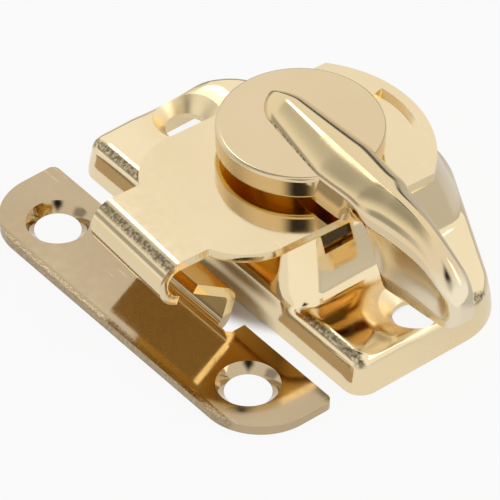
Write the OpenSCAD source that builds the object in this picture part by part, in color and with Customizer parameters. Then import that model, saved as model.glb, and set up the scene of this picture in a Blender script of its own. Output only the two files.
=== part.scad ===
// Sash lock for a sliding window: a turning hook on a pressed base draws a keeper's tongue in.
// Millimetres, +Z up from the rails, +X along the rails, origin on the pivot axis at the mounting plane.

/* [Base] */
// Length of the base along the rail
base_length = 50.8; // [48:0.2:54]
// Pivot axis to the straight front edge
base_front = 12.25; // [11:0.05:14]
// Pivot axis to the rounded back edge
base_back = 20.2; // [19.4:0.1:22]
// Height of the flat ends that take the screws
flat_height = 4.9; // [4.6:0.1:6]
// Thickness of the pressed sheet
base_sheet = 1.1; // [0.9:0.05:1.3]
// Outside radius of the bend along the top edge
base_bend = 1.6; // [1.4:0.05:1.9]
// Height of the foot left round the rim
foot_height = 1.1; // [0.7:0.1:1.6]
// How far the foot stands out from the wall
foot_step = 0.45; // [0.2:0.05:0.6]
// Distance between the two base screws
base_screw_spacing = 41.3; // [40.4:0.1:42.2]
// Screw hole through the base
base_screw_hole = 5.1; // [4.6:0.1:5.4]
// Rim of the pressed countersink in the base
base_countersink = 8.2; // [7.6:0.1:8.6]

/* [Housing] */
// Top of the raised middle
housing_top = 12.05; // [11.6:0.05:12.1]
// Width of the raised middle where it leaves the flat
housing_foot_width = 28.4; // [27.6:0.2:29]
// Width of the raised middle at its top
housing_top_width = 22.6; // [21.6:0.2:23.6]
// Pivot axis to the middle's front wall at its top
housing_top_front = 9.9; // [9.5:0.1:10.4]
// Radius of the middle's round back at its foot
housing_foot_sweep = 18.4; // [17.8:0.1:18.6]
// Radius of the middle's round back at its top
housing_top_sweep = 15.2; // [14.8:0.1:15.5]
// Radius of the middle's front corners
housing_corner = 3.6; // [3:0.1:4.4]
// Width of the window in the middle's side wall
window_width = 4.2; // [3.6:0.1:4.8]
// Height of that window below the housing's top
window_height = 2.3; // [1.8:0.1:2.8]

/* [Keeper] */
// Length of the keeper along the rail
keeper_length = 51; // [49:0.2:54]
// Width of the keeper's plate
keeper_width = 12; // [11.4:0.1:12.8]
// Thickness of the keeper's sheet
keeper_sheet = 1.2; // [1:0.05:1.4]
// Pivot axis to the keeper's screw line
keeper_line = 20.8; // [20.7:0.1:21.4]
// Keeper's screw line to its front edge
keeper_outer = 6.2; // [5.8:0.1:6.8]
// How far the keeper sits along the rail from the pivot
keeper_shift = -1.15; // [-1.6:0.05:1]
// Radius of the keeper's two outer corners
keeper_corner = 7.4; // [6.8:0.1:8]
// Radius rolled along the keeper's outer edge
keeper_roll = 0.8; // [0.4:0.05:0.95]
// Distance between the two keeper screws
keeper_screw_spacing = 34.9; // [34:0.1:36]
// Screw hole through the keeper
keeper_screw_hole = 5.5; // [5:0.1:5.8]
// Rim of the keeper's countersink
keeper_countersink = 7.5; // [7.2:0.1:8]
// Straight land left below the keeper's countersink
keeper_land = 0.3; // [0.2:0.05:0.5]
// Width of the keeper's tongue
tongue_width = 15.3; // [14:0.1:16.4]
// How far the tongue's root is notched in from the inner edge
tongue_root = 2.35; // [2:0.05:2.6]
// Width of the relief notch beside the tongue
tongue_notch = 2; // [1.4:0.1:2.6]
// Straight length between the tongue's two bends
tongue_rise = 2.2; // [1.8:0.1:2.6]
// Straight length from the upper bend to the tongue's tip
tongue_reach = 5.6; // [4.8:0.1:5.8]

/* [Cam plate] */
// Thickness of the cam plate's sheet
cam_sheet = 1.2; // [1.1:0.05:1.3]
// Height of the cam plate's underside
cam_under = 12.3; // [12.2:0.05:12.5]
// Width of the cam plate
cam_width = 22.7; // [21.8:0.1:23.6]
// How far the cam plate's middle stands off the pivot
cam_shift = 0.7; // [0:0.05:1]
// Radius of the cam plate's back, about the pivot
cam_back = 15.7; // [15.6:0.1:16.4]
// Pivot axis to the cam plate's front edge
cam_front = 19; // [18.6:0.1:19.6]
// Radius of the cam plate's front corners
cam_corner = 8; // [6.5:0.1:9]
// Width of the hook
hook_width = 13.4; // [12.6:0.1:14.2]
// Pivot axis to the outside of the hook
hook_reach = 25.1; // [25:0.1:25.8]
// Inside radius of the hook's upper bend
hook_bend = 1.7; // [1.4:0.05:1.8]
// Inside radius of the hook's lower curl
hook_curl = 2.3; // [2:0.05:2.4]
// Outer radius of the pressed recess behind the disc
recess_reach = 14.5; // [13.8:0.1:14.8]
// Depth of that recess
recess_depth = 0.8; // [0.5:0.05:0.9]

/* [Lever] */
// Radius of the lever's disc
disc_radius = 9.8; // [9.4:0.1:10.2]
// Height of the disc's top
disc_top = 17.8; // [17.6:0.1:18.4]
// Thickness of the disc
disc_thickness = 3; // [2.8:0.1:3.2]
// Radius round the disc's edges
disc_edge = 0.5; // [0.2:0.05:0.8]
// Pivot axis to the tip of the lever
lever_reach = 31.6; // [30:0.1:33]
// Height of the lever's crest over the disc
crest_rise = 1.85; // [1.5:0.05:2.1]
// Half the width of the lever's arch at the disc's edge
arch_half = 4; // [3.8:0.05:4.3]
// Half the width of the lever's neck past the disc
neck_half = 3.6; // [3.3:0.05:3.8]
// Half the thickness of the thumb blade
blade_half = 2.1; // [2:0.05:2.3]
// Half the thickness of the blade's lower edge
blade_edge = 1.75; // [1.6:0.05:1.9]
// Height of the blade's lower edge at its inner end
blade_low = 7; // [6.8:0.05:7.6]
// Depth of the finger scoop in each side of the blade
scoop_depth = 1; // [0.5:0.05:1.1]
// Angle between the locked lever and the rails
rest_turn = -3; // [-4:0.5:0]

/* [Pivot] */
// Width of the post's square
post_square = 5; // [4.6:0.1:5.4]
// Radius of the post's round journal
post_journal = 3.4; // [3.2:0.05:3.6]
// Radius of the stem below the journal
post_stem = 2.4; // [2.2:0.05:2.5]
// Radius of the staked head
post_head = 3.6; // [3.4:0.05:4]
// Outer radius of the spring washer
spring_radius = 6; // [5.4:0.1:6.6]
// Thickness of the spring washer's sheet
spring_sheet = 0.5; // [0.4:0.05:0.6]
// Height that the spring washer stands
spring_height = 1.2; // [1:0.05:1.4]
// Outer radius of the flat washer
washer_radius = 5; // [4.6:0.1:5.4]
// Thickness of the flat washer
washer_thickness = 0.8; // [0.6:0.05:1]

/* [Clearances] */
// Radial clearance of the journal in the housing
journal_clearance = 0.05; // [0.02:0.01:0.1]
// Clearance of the square in its sockets and of the washers on the stem
socket_clearance = 0.05; // [0.03:0.01:0.1]
// Gap between pieces that are clamped together
seat_gap = 0.02; // [0.01:0.01:0.05]
// Gap between the spring washer and the housing
spring_gap = 0.08; // [0.05:0.01:0.15]

/* [Hidden] */
$fn = 96;
// Overlap that joins neighbouring solids
join = 0.02;
// Reach of a cutter past the face that it opens
past = 1;
base_half = base_length / 2;
base_front_corner = 2.5;
base_back_corner = 8;
base_back_middle = 14.2;
base_back_side = 3.9;
foot_round = 0.3;
bend_steps = 6;
hull_sides = 48;
hull_slice = 0.2;
cam_top = cam_under + cam_sheet;
disc_under = disc_top - disc_thickness;
hub_radius = 6;
socket_top = disc_top - 1.2;
housing_under = housing_top - base_sheet;
window_back = -2.1;
dimple_depth = 2.1;
keeper_inner = keeper_line + keeper_outer - keeper_width;
tongue_root_bend = 1.3;
tongue_root_angle = 72;
tongue_top_bend = 1.5;
tongue_top_angle = 73;
hook_down_angle = 94;
hook_curl_angle = 68;
recess_start = 70;
recess_sweep = 33;
spring_top = housing_under - spring_gap;
spring_low = spring_top - spring_height;
washer_top = spring_low - seat_gap;
washer_low = washer_top - washer_thickness;
journal_low = spring_top - seat_gap;
head_thickness = 0.8;

// Circles whose hull is the base's outline: x, y and radius of each
base_circles = [
    [base_half - base_back_corner, base_back_side, base_back_corner],
    [base_back_corner - base_half, base_back_side, base_back_corner],
    [0, base_back - base_back_middle, base_back_middle],
    [base_half - base_front_corner, base_front_corner - base_front, base_front_corner],
    [base_front_corner - base_half, base_front_corner - base_front, base_front_corner]
];

// Lever stations, measured from the pivot along the lever
nose_start = -6;
nose_round = 4;
nose_half = 2.9;
arch_full = 8;
neck_full = 14;
neck_drop = 0.25;
thin_start = 14.5;
thin_end = 28;
skirt = 0.5;
skirt_fade = 12.5;
skirt_end = 15.8;
blade_start = 14.6;
blade_inner = 18.8;
blade_slope = 0.19;
crest_turn = 18;
crest_drop = 8.5;
heel_turn = 29;
heel_rise = 1.9;
side_start = 28;
tip_share = 0.2;
scoop_start = 15.6;
scoop_full = 18;
scoop_fade = 27.5;
scoop_end = 30.8;
scoop_foot = 0.78;
side_crown = 0.1;
arch_share = 0.58;
crest_power = 1.25;
blade_share = 0.73;
tip_gap = 0.1;
lever_sections = 48;
end_crowding = 0.6;
arch_steps = 14;
side_steps = 12;

// Which node to draw

function clamp01(t) = min(max(t, 0), 1);
function ease(t, from, to) =
    let (s = clamp01((t - from) / (to - from)))
    s * s * (3 - 2 * s);
function mix(a, b, share) = a + (b - a) * share;
function round_off(t) = sqrt(max(0, 1 - t * t));

// A straight run of sheet along +Y, then what follows it
module run(length, sheet, width) {
    translate([-width / 2, -join, -sheet / 2])
        cube([width, length + 2 * join, sheet]);
    translate([0, length, 0])
        children();
}

// A bend of sheet about X, up for a positive angle, then what follows it
module bend(angle, radius, sheet, width) {
    side = sign(angle);
    translate([0, 0, side * radius])
        rotate([90, 0, 90])
            rotate([0, 0, side > 0 ? -90 : 90 + angle])
                rotate_extrude(angle = abs(angle))
                    translate([radius - sheet / 2, -width / 2])
                        square([sheet, width]);
    translate([0, 0, side * radius])
        rotate([angle, 0, 0])
            translate([0, 0, -side * radius])
                children();
}

// A disc with its upper edge rounded
module soft_disc(radius, low, top, edge) {
    rotate_extrude($fn = hull_sides)
        polygon(concat(
            [[0, low], [radius, low]],
            [for (step = [0 : bend_steps])
                let (turn = 90 * step / bend_steps)
                [radius - edge * (1 - cos(turn)), top - edge * (1 - sin(turn))]],
            [[0, top]]
        ));
}

// The base's low block with its top edge rounded, drawn in by inset
module low_block(inset, low, top, edge) {
    hull()
        for (place = base_circles)
            translate([place[0], place[1], 0])
                soft_disc(place[2] - inset, low, top, edge);
}

// How far up the raised middle's slope a height is: 0 at the flat, 1 at the top
function slope_at(level) = max(0, (level - flat_height) / (housing_top - flat_height));

// The raised middle: flush at the front, sloping in above the flat, with a round back about the pivot
module raised_middle(inset, low, top) {
    corner = housing_corner - inset;
    foot_half = housing_foot_width / 2 - inset;
    foot_front = base_front - foot_step - inset;
    intersection() {
        union() {
            hull()
                for (level = [flat_height - hull_slice, top - hull_slice], side = [-1, 1]) {
                    half = mix(housing_foot_width, housing_top_width, slope_at(level)) / 2 - inset;
                    front = mix(base_front - foot_step, housing_top_front, slope_at(level)) - inset;
                    for (y = [corner - front, base_back])
                        translate([side * (half - corner), y, level])
                            cylinder(r = corner, h = hull_slice, $fn = hull_sides);
                }
            translate([0, 0, low])
                linear_extrude(flat_height - join - low)
                    union() {
                        translate([-foot_half, corner - foot_front])
                            square([2 * foot_half, foot_front + base_back]);
                        translate([corner - foot_half, -foot_front])
                            square([2 * (foot_half - corner), corner]);
                        for (side = [-1, 1])
                            translate([side * (foot_half - corner), corner - foot_front])
                                circle(r = corner);
                    }
        }
        rotate_extrude()
            polygon([
                [0, low],
                [housing_foot_sweep - inset, low],
                [housing_foot_sweep - inset, flat_height],
                [mix(housing_foot_sweep, housing_top_sweep, slope_at(top)) - inset, top],
                [0, top]
            ]);
    }
}

// A countersink and its screw hole, opening upward at height top
module screw_cut(rim, hole, depth, top) {
    translate([0, 0, top - depth])
        cylinder(d1 = hole, d2 = rim, h = depth + join);
    translate([0, 0, top - depth - past])
        cylinder(d = hole, h = depth + past);
}

// Pressed cones that carry the countersinks below the sheet, kept within the block's walls
module dimples() {
    intersection() {
        for (side = [-1, 1])
            translate([side * base_screw_spacing / 2, 0, flat_height - dimple_depth - base_sheet / 2])
                cylinder(
                    d1 = base_screw_hole + 2 * base_sheet,
                    d2 = base_countersink + 2 * base_sheet,
                    h = dimple_depth
                );
        low_block(foot_step, 0, flat_height, base_bend);
    }
}

module base() {
    color([0.86, 0.72, 0.42])
        difference() {
            union() {
                difference() {
                    union() {
                        low_block(foot_step, 0, flat_height, base_bend);
                        low_block(0, 0, foot_height, foot_round);
                        raised_middle(0, foot_height, housing_top);
                    }
                    low_block(foot_step + base_sheet, -past, flat_height - base_sheet, base_bend - base_sheet);
                    raised_middle(base_sheet, flat_height - 2 * base_sheet, housing_under);
                }
                dimples();
            }
            for (side = [-1, 1])
                translate([side * base_screw_spacing / 2, 0, 0])
                    screw_cut(base_countersink, base_screw_hole, dimple_depth, flat_height);
            translate([0, 0, housing_under - past])
                cylinder(r = post_journal + journal_clearance, h = base_sheet + 2 * past);
            translate([housing_top_width / 2 - 2 * base_sheet, window_back - window_width, housing_top - window_height])
                cube([housing_foot_width / 2, window_width, window_height + past]);
        }
}

// Keeper's plate with the outer edge and ends rolled, about its own middle
module keeper_plate() {
    half = keeper_length / 2;
    intersection() {
        hull()
            for (side = [-1, 1], y = [keeper_corner - keeper_line - keeper_outer, 0])
                translate([side * (half - keeper_corner), y, 0])
                    soft_disc(keeper_corner, 0, keeper_sheet, keeper_roll);
        translate([-half - past, -keeper_line - keeper_outer - past, -past])
            cube([keeper_length + 2 * past, keeper_width + past, keeper_sheet + 2 * past]);
    }
}

// Keeper's tongue: up, over and back towards the hook
module tongue() {
    translate([0, -keeper_inner - tongue_root, keeper_sheet / 2])
        bend(tongue_root_angle, tongue_root_bend, keeper_sheet, tongue_width)
            run(tongue_rise, keeper_sheet, tongue_width)
                bend(tongue_top_angle, tongue_top_bend, keeper_sheet, tongue_width)
                    run(tongue_reach, keeper_sheet, tongue_width);
}

module keeper() {
    color([0.83, 0.68, 0.5])
        translate([keeper_shift, 0, 0])
            union() {
                difference() {
                    keeper_plate();
                    translate([-tongue_width / 2 - tongue_notch, -keeper_inner - tongue_root + join, -past])
                        cube([tongue_width + 2 * tongue_notch, tongue_root + past, keeper_sheet + 2 * past]);
                    for (side = [-1, 1])
                        translate([side * keeper_screw_spacing / 2, -keeper_line, 0])
                            screw_cut(keeper_countersink, keeper_screw_hole, keeper_sheet - keeper_land, keeper_sheet);
                }
                tongue();
            }
}

// Flat outline of the cam plate about its own middle line
module cam_outline() {
    half = cam_width / 2;
    intersection() {
        union() {
            translate([-cam_shift, 0])
                circle(r = cam_back);
            translate([-half, cam_corner - cam_front])
                square([cam_width, cam_front - cam_corner]);
            translate([cam_corner - half, -cam_front])
                square([cam_width - 2 * cam_corner, cam_corner]);
            for (side = [-1, 1])
                translate([side * (half - cam_corner), cam_corner - cam_front])
                    circle(r = cam_corner);
        }
        translate([-half, -cam_front])
            square([cam_width, cam_front + cam_back]);
    }
}

// Hook folded down from the plate's front edge and curled back under
module hook() {
    bend_middle = hook_bend + cam_sheet / 2;
    start = cam_front - past;
    rotate([0, 0, 180])
        translate([0, start, cam_under + cam_sheet / 2])
            run(hook_reach - hook_bend - cam_sheet - start, cam_sheet, hook_width)
                bend(-hook_down_angle, bend_middle, cam_sheet, hook_width)
                    bend(-hook_curl_angle, hook_curl + cam_sheet / 2, cam_sheet, hook_width);
}

module cam_plate() {
    color([0.9, 0.78, 0.52])
        rotate([0, 0, rest_turn])
            difference() {
                translate([cam_shift, 0, 0])
                    union() {
                        translate([0, 0, cam_under])
                            linear_extrude(cam_sheet)
                                cam_outline();
                        hook();
                    }
                translate([0, 0, cam_top - recess_depth])
                    rotate([0, 0, recess_start])
                        rotate_extrude(angle = recess_sweep)
                            translate([hub_radius + past, 0])
                                square([recess_reach - hub_radius - past, recess_depth + past]);
                square_socket(cam_under - past, cam_top + past);
            }
}

// Square hole for the post between two heights
module square_socket(low, top) {
    side = post_square + 2 * socket_clearance;
    translate([-side / 2, -side / 2, low])
        cube([side, side, top - low]);
}

// How far the sides have drawn in towards the tip at station u, as a share
function tip_narrowing(u) = mix(tip_share, 1, round_off(max(u - side_start, 0) / (lever_reach - side_start)));

// Half the width of the lever's shoulder at station u
function shoulder_half(u) =
    let (
        start = nose_start + nose_round,
        taper = (arch_half - nose_half) / (arch_full - start),
        arch = (nose_half + taper * (min(u, arch_full) - start)) * round_off(min(u - start, 0) / nose_round),
        neck = (arch_half - neck_half) * ease(u, arch_full, neck_full),
        blade = (neck_half - blade_half) * ease(u, thin_start, thin_end)
    )
    (arch - neck - blade) * tip_narrowing(u);

// Height of the crest at station u
function crest(u) =
    let (
        start = nose_start + nose_round,
        nose = round_off(min(u - start, 0) / nose_round),
        fall = round_off(max(u - crest_turn, 0) / (lever_reach - crest_turn))
    )
    disc_top + crest_rise * nose - crest_drop * (1 - fall);

// Height of the lever's lower edge at station u
function lower_edge(u) =
    let (
        neck = disc_under - neck_drop,
        blade = blade_low + blade_slope * max(u - blade_inner, 0),
        heel = heel_rise * (1 - round_off(max(u - heel_turn, 0) / (lever_reach - heel_turn)))
    )
    mix(neck, blade, ease(u, blade_start, blade_inner)) + heel;

// How deep the finger scoop is at station u, a share s of the way down the side
function scoop(u, s) =
    let (along = ease(u, scoop_start, scoop_full) * (1 - ease(u, scoop_fade, scoop_end)))
    scoop_depth * along * sin(180 * min(s / scoop_foot, 1));

// Half the lever's width a share s of the way down its side, from the shoulder to the lower edge
function side_half(u, half, edge, s) = mix(half, edge, s) + side_crown * sin(180 * s) - scoop(u, s);

// Outline of the lever across station u: over the arch, down one side and up the other
function lever_section(u) =
    let (
        half = shoulder_half(u),
        top = crest(u),
        low = lower_edge(u),
        shoulder = mix(low, top, mix(arch_share, blade_share, ease(u, blade_start, blade_inner))),
        edge = mix(half + skirt, blade_edge * tip_narrowing(u), ease(u, skirt_fade, skirt_end))
    )
    concat(
        [for (i = [0 : arch_steps])
            let (turn = 180 * i / arch_steps, out = pow(abs(cos(turn)), crest_power) * sign(cos(turn)))
            [u, half * out, mix(shoulder, top, pow(sin(turn), crest_power))]],
        [for (i = [1 : side_steps])
            let (s = i / side_steps)
            [u, -side_half(u, half, edge, s), mix(shoulder, low, s)]],
        [for (i = [0 : side_steps - 1])
            let (s = 1 - i / side_steps)
            [u, side_half(u, half, edge, s), mix(shoulder, low, s)]]
    );

// Arch and thumb blade of the lever, lofted from nose to tip
module lever_blade() {
    first = nose_start + tip_gap;
    last = lever_reach - tip_gap;
    stations = [
        for (i = [0 : lever_sections])
            let (t = i / lever_sections)
            mix(first, last, mix(t, (1 - cos(180 * t)) / 2, end_crowding))
    ];
    ring = arch_steps + 1 + 2 * side_steps;
    points = [for (u = stations, point = lever_section(u)) point];
    walls = [
        for (i = [0 : lever_sections - 1], j = [0 : ring - 1])
            [i * ring + j, (i + 1) * ring + j, (i + 1) * ring + (j + 1) % ring, i * ring + (j + 1) % ring]
    ];
    nose_cap = [for (j = [0 : ring - 1]) j];
    tip_cap = [for (j = [0 : ring - 1]) lever_sections * ring + ring - 1 - j];
    polyhedron(points = points, faces = concat(walls, [nose_cap], [tip_cap]));
}

// Disc of the lever with both edges rounded
module disc() {
    rotate_extrude()
        union() {
            translate([0, disc_under])
                square([disc_radius - disc_edge, disc_thickness]);
            translate([0, disc_under + disc_edge])
                square([disc_radius, disc_thickness - 2 * disc_edge]);
            for (level = [disc_under + disc_edge, disc_top - disc_edge])
                translate([disc_radius - disc_edge, level])
                    circle(r = disc_edge);
        }
}

module lever() {
    color([0.86, 0.74, 0.5])
        rotate([0, 0, rest_turn])
            difference() {
                union() {
                    disc();
                    translate([0, 0, cam_top + seat_gap])
                        cylinder(r = hub_radius, h = disc_under - cam_top);
                    lever_blade();
                }
                square_socket(cam_top - past, socket_top);
            }
}

module pivot_post() {
    square_top = socket_top - seat_gap;
    color([0.72, 0.72, 0.74])
        rotate([0, 0, rest_turn])
            union() {
                translate([-post_square / 2, -post_square / 2, cam_under])
                    cube([post_square, post_square, square_top - cam_under]);
                translate([0, 0, journal_low])
                    cylinder(r = post_journal, h = cam_under - seat_gap - journal_low);
                translate([0, 0, washer_low - seat_gap])
                    cylinder(r = post_stem, h = cam_under + past - washer_low);
                translate([0, 0, washer_low - seat_gap - head_thickness])
                    cylinder(r1 = post_head - head_thickness / 2, r2 = post_head, h = head_thickness);
            }
}

module spring_washer() {
    hole = post_stem + socket_clearance;
    color([0.6, 0.62, 0.66])
        rotate_extrude()
            polygon([
                [hole, spring_low],
                [hole, spring_low + spring_sheet],
                [spring_radius, spring_top],
                [spring_radius, spring_top - spring_sheet]
            ]);
}

module flat_washer() {
    color([0.66, 0.67, 0.7])
        translate([0, 0, washer_low])
            difference() {
                cylinder(r = washer_radius, h = washer_thickness);
                translate([0, 0, -past])
                    cylinder(r = post_stem + socket_clearance, h = washer_thickness + 2 * past);
            }
}

base();
keeper();
cam_plate();
lever();
pivot_post();
spring_washer();
flat_washer();
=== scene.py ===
import math

import bmesh
import bpy
import numpy as np
from mathutils import Matrix, Vector


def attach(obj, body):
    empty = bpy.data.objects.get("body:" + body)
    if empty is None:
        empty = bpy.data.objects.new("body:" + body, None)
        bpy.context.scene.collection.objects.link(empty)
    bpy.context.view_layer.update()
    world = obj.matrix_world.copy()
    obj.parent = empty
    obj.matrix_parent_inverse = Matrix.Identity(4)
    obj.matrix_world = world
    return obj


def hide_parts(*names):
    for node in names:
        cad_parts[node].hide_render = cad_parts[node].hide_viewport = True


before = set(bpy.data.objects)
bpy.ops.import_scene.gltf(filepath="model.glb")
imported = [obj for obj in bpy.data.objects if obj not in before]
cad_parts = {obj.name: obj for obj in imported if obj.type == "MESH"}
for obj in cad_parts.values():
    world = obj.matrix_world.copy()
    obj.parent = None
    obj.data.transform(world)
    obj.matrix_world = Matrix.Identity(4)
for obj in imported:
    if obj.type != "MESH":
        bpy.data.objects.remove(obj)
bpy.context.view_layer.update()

# Sizes are in millimetres until a piece is finished, then it is brought to metres
MM = 0.001
REST_TURN = math.radians(-3.0)

# Base pressing
BASE_HALF = 25.4
BASE_FRONT = 12.25
BASE_BACK = 20.2
FLAT_HEIGHT = 4.9
BASE_SHEET = 1.1
BASE_BEND = 1.6
BEND_STEPS = 10
PRESS_ROUND = 0.75
END_CORNER = 8.0
END_CORNER_BACK = 3.9
BACK_CORNER = 14.2
FRONT_CORNER = 2.5
FOOT_HEIGHT = 1.1
FOOT_STEP = 0.45
FOOT_DRAFT = 0.06
BASE_SCREW_X = 20.65
BASE_SCREW_HOLE = 2.55
BASE_COUNTERSINK = 4.1
DIMPLE_DEPTH = 2.1
DISH_REACH = 6.8
DISH_DEPTH = 0.35
RIM_ROUND = 0.55

# Raised housing on the base
HOUSING_TOP = 12.05
HOUSING_FOOT_HALF = 14.2
HOUSING_TOP_HALF = 11.3
HOUSING_TOP_FRONT = 9.9
HOUSING_FOOT_SWEEP = 18.4
HOUSING_TOP_SWEEP = 15.2
HOUSING_CORNER = 3.6
HOUSING_STEPS = 12
BORE = 3.45
WINDOW_FRONT = -6.3
WINDOW_BACK = -2.1
WINDOW_LOW = 9.75

# Keeper strip
KEEPER_HALF = 25.5
KEEPER_SHIFT = -1.15
KEEPER_LINE = -20.8
KEEPER_OUTER = -27.0
KEEPER_INNER = -15.0
KEEPER_SHEET = 1.2
KEEPER_CORNER = 7.4
KEEPER_BACK_CORNER = 0.9
KEEPER_ROLL = 0.8
KEEPER_EDGE = 0.12
KEEPER_SCREW = 17.45
KEEPER_SCREW_HOLE = 2.75
KEEPER_COUNTERSINK = 3.75
TONGUE_HALF = 7.65
TONGUE_ROOT = 2.35
TONGUE_UP = math.radians(72.0)
TONGUE_UP_BEND = 1.3
TONGUE_RISE = 2.2
TONGUE_BACK = math.radians(73.0)
TONGUE_BACK_BEND = 1.5
TONGUE_LIP = 5.6
NOTCH = 2.0
NOTCH_CORNER = 0.5

# Cam plate and its hook
CAM_UNDER = 12.3
CAM_TOP = 13.5
CAM_HALF = 11.35
CAM_SHIFT = 0.7
CAM_BACK = 15.7
CAM_FRONT = -19.0
CAM_CORNER = 8.0
CAM_EDGE = 0.22
HOOK_HALF = 6.7
HOOK_TAB = -20.0
HOOK_REACH = -25.1
HOOK_BEND = 1.7
HOOK_DOWN = math.radians(94.0)
HOOK_CURL = 2.3
HOOK_OVER = math.radians(68.0)
HOOK_NOTCH = 0.5
FOLD_STEPS = 16
RECESS_INNER = 7.0
RECESS_OUTER = 14.5
RECESS_FROM = 70.0
RECESS_TO = 103.0
RECESS_DEPTH = 0.8
RECESS_LEAN = 0.6

# Lever casting
DISC_RADIUS = 9.8
DISC_TOP = 17.8
DISC_UNDER = 14.8
DISC_EDGE = 0.5
HUB_RADIUS = 6.0
LEVER_REACH = 31.6
LEVER_SECTIONS = 120
END_GAP = 0.1
NOSE_START = -6.0
NOSE_ROUND = 4.0
NOSE_HALF = 2.9
CREST_RISE = 1.85
CREST_POWER = 1.25
CREST_TURN = 18.0
CREST_DROP = 8.5
ARCH_FULL = 8.0
ARCH_HALF = 4.0
ARCH_SHARE = 0.58
NECK_FULL = 14.0
NECK_HALF = 3.6
NECK_DROP = 0.25
SKIRT = 0.5
SKIRT_FADE = 12.5
SKIRT_END = 15.8
THIN_START = 14.5
THIN_END = 28.0
BLADE_START = 14.6
BLADE_INNER = 18.8
BLADE_HALF = 2.1
BLADE_EDGE = 1.75
BLADE_LOW = 7.0
BLADE_SLOPE = 0.19
BLADE_SHARE = 0.73
TIP_START = 28.0
TIP_SHARE = 0.2
HEEL_TURN = 29.0
HEEL_RISE = 1.9
SIDE_CROWN = 0.1
SIDE_STEPS = 32
SCOOP_START = 15.6
SCOOP_FULL = 18.0
SCOOP_FADE = 27.5
SCOOP_END = 30.8
SCOOP_DEPTH = 1.0
SCOOP_FOOT = 0.78


# Modelling helpers

def clear():
    """Leave edit mode and drop every selection."""
    if bpy.context.object and bpy.context.object.mode != "OBJECT":
        bpy.ops.object.mode_set(mode="OBJECT")
    bpy.ops.object.select_all(action="DESELECT")


def take(piece):
    """Make a piece the only selected and active one."""
    clear()
    piece.select_set(True)
    bpy.context.view_layer.objects.active = piece


def pick_faces(piece, wanted):
    """Enter edit mode with only the wanted faces selected."""
    take(piece)
    bpy.ops.object.mode_set(mode="EDIT")
    bpy.ops.mesh.select_mode(type="FACE")
    bpy.ops.mesh.select_all(action="DESELECT")
    bpy.ops.object.mode_set(mode="OBJECT")
    for face in piece.data.polygons:
        face.select = wanted(face)
    bpy.ops.object.mode_set(mode="EDIT")


def pick_edges(piece, wanted):
    """Enter edit mode with only the wanted edges selected."""
    take(piece)
    bpy.ops.object.mode_set(mode="EDIT")
    bpy.ops.mesh.select_mode(type="EDGE")
    bpy.ops.mesh.select_all(action="DESELECT")
    bpy.ops.object.mode_set(mode="OBJECT")
    places = [vertex.co.copy() for vertex in piece.data.vertices]
    for edge in piece.data.edges:
        edge.select = wanted(places[edge.vertices[0]], places[edge.vertices[1]])
    bpy.ops.object.mode_set(mode="EDIT")


def tidy_mesh(piece, merge=1e-5):
    """Merge doubles and turn every face outwards."""
    take(piece)
    bpy.ops.object.mode_set(mode="EDIT")
    bpy.ops.mesh.select_all(action="SELECT")
    bpy.ops.mesh.remove_doubles(threshold=merge)
    bpy.ops.mesh.normals_make_consistent(inside=False)
    bpy.ops.object.mode_set(mode="OBJECT")


def soften(piece, width, segments=3, angle=35.0):
    """Round every sharp edge that is left."""
    take(piece)
    modifier = piece.modifiers.new("soft edges", "BEVEL")
    modifier.width = width
    modifier.segments = segments
    modifier.limit_method = "ANGLE"
    modifier.angle_limit = math.radians(angle)
    modifier.miter_outer = "MITER_ARC"
    modifier.use_clamp_overlap = True
    bpy.ops.object.modifier_apply(modifier=modifier.name)


def combine(piece, other, operation):
    """Cut, join or intersect a piece with another, which is used up."""
    take(piece)
    modifier = piece.modifiers.new("combine", "BOOLEAN")
    modifier.operation = operation
    modifier.solver = "EXACT"
    modifier.object = other
    bpy.ops.object.modifier_apply(modifier=modifier.name)
    bpy.data.objects.remove(other)


def blank(name, outline, low, top):
    """A flat blank cut to an outline, with its thickness."""
    clear()
    bpy.ops.mesh.primitive_circle_add(vertices=len(outline), radius=1.0, fill_type="NGON", location=(0, 0, 0))
    piece = bpy.context.object
    piece.name = name
    for vertex, (x, y) in zip(piece.data.vertices, outline):
        vertex.co = (x, y, low)
    bpy.ops.object.mode_set(mode="EDIT")
    bpy.ops.mesh.select_all(action="SELECT")
    bpy.ops.mesh.extrude_region_move(TRANSFORM_OT_translate={"value": (0, 0, top - low)})
    bpy.ops.mesh.select_all(action="SELECT")
    bpy.ops.mesh.normals_make_consistent(inside=False)
    bpy.ops.object.mode_set(mode="OBJECT")
    return piece


def loft(name, rows, close_ends):
    """A skin through rows of points, each row a closed ring, from a grid that is wrapped round."""
    across = len(rows[0])
    along = len(rows) - 1
    clear()
    bpy.ops.mesh.primitive_grid_add(x_subdivisions=across, y_subdivisions=along, size=1.0, location=(0, 0, 0))
    piece = bpy.context.object
    piece.name = name
    for vertex in piece.data.vertices:
        i = round((vertex.co.x + 0.5) * across)
        j = round((vertex.co.y + 0.5) * along)
        vertex.co = rows[j][i % across]
    tidy_mesh(piece)
    if close_ends:
        bpy.ops.object.mode_set(mode="EDIT")
        bpy.ops.mesh.select_all(action="SELECT")
        bpy.ops.mesh.fill_holes(sides=0)
        bpy.ops.mesh.select_all(action="SELECT")
        bpy.ops.mesh.normals_make_consistent(inside=False)
        bpy.ops.object.mode_set(mode="OBJECT")
    return piece


def cone(low_radius, top_radius, low, top, place, sides=128):
    """A round cutter between two heights."""
    clear()
    bpy.ops.mesh.primitive_cone_add(vertices=sides, radius1=low_radius, radius2=top_radius, depth=top - low,
                                    location=(place[0], place[1], (low + top) / 2))
    bpy.ops.object.transform_apply(location=True, rotation=True, scale=True)
    return bpy.context.object


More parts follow.
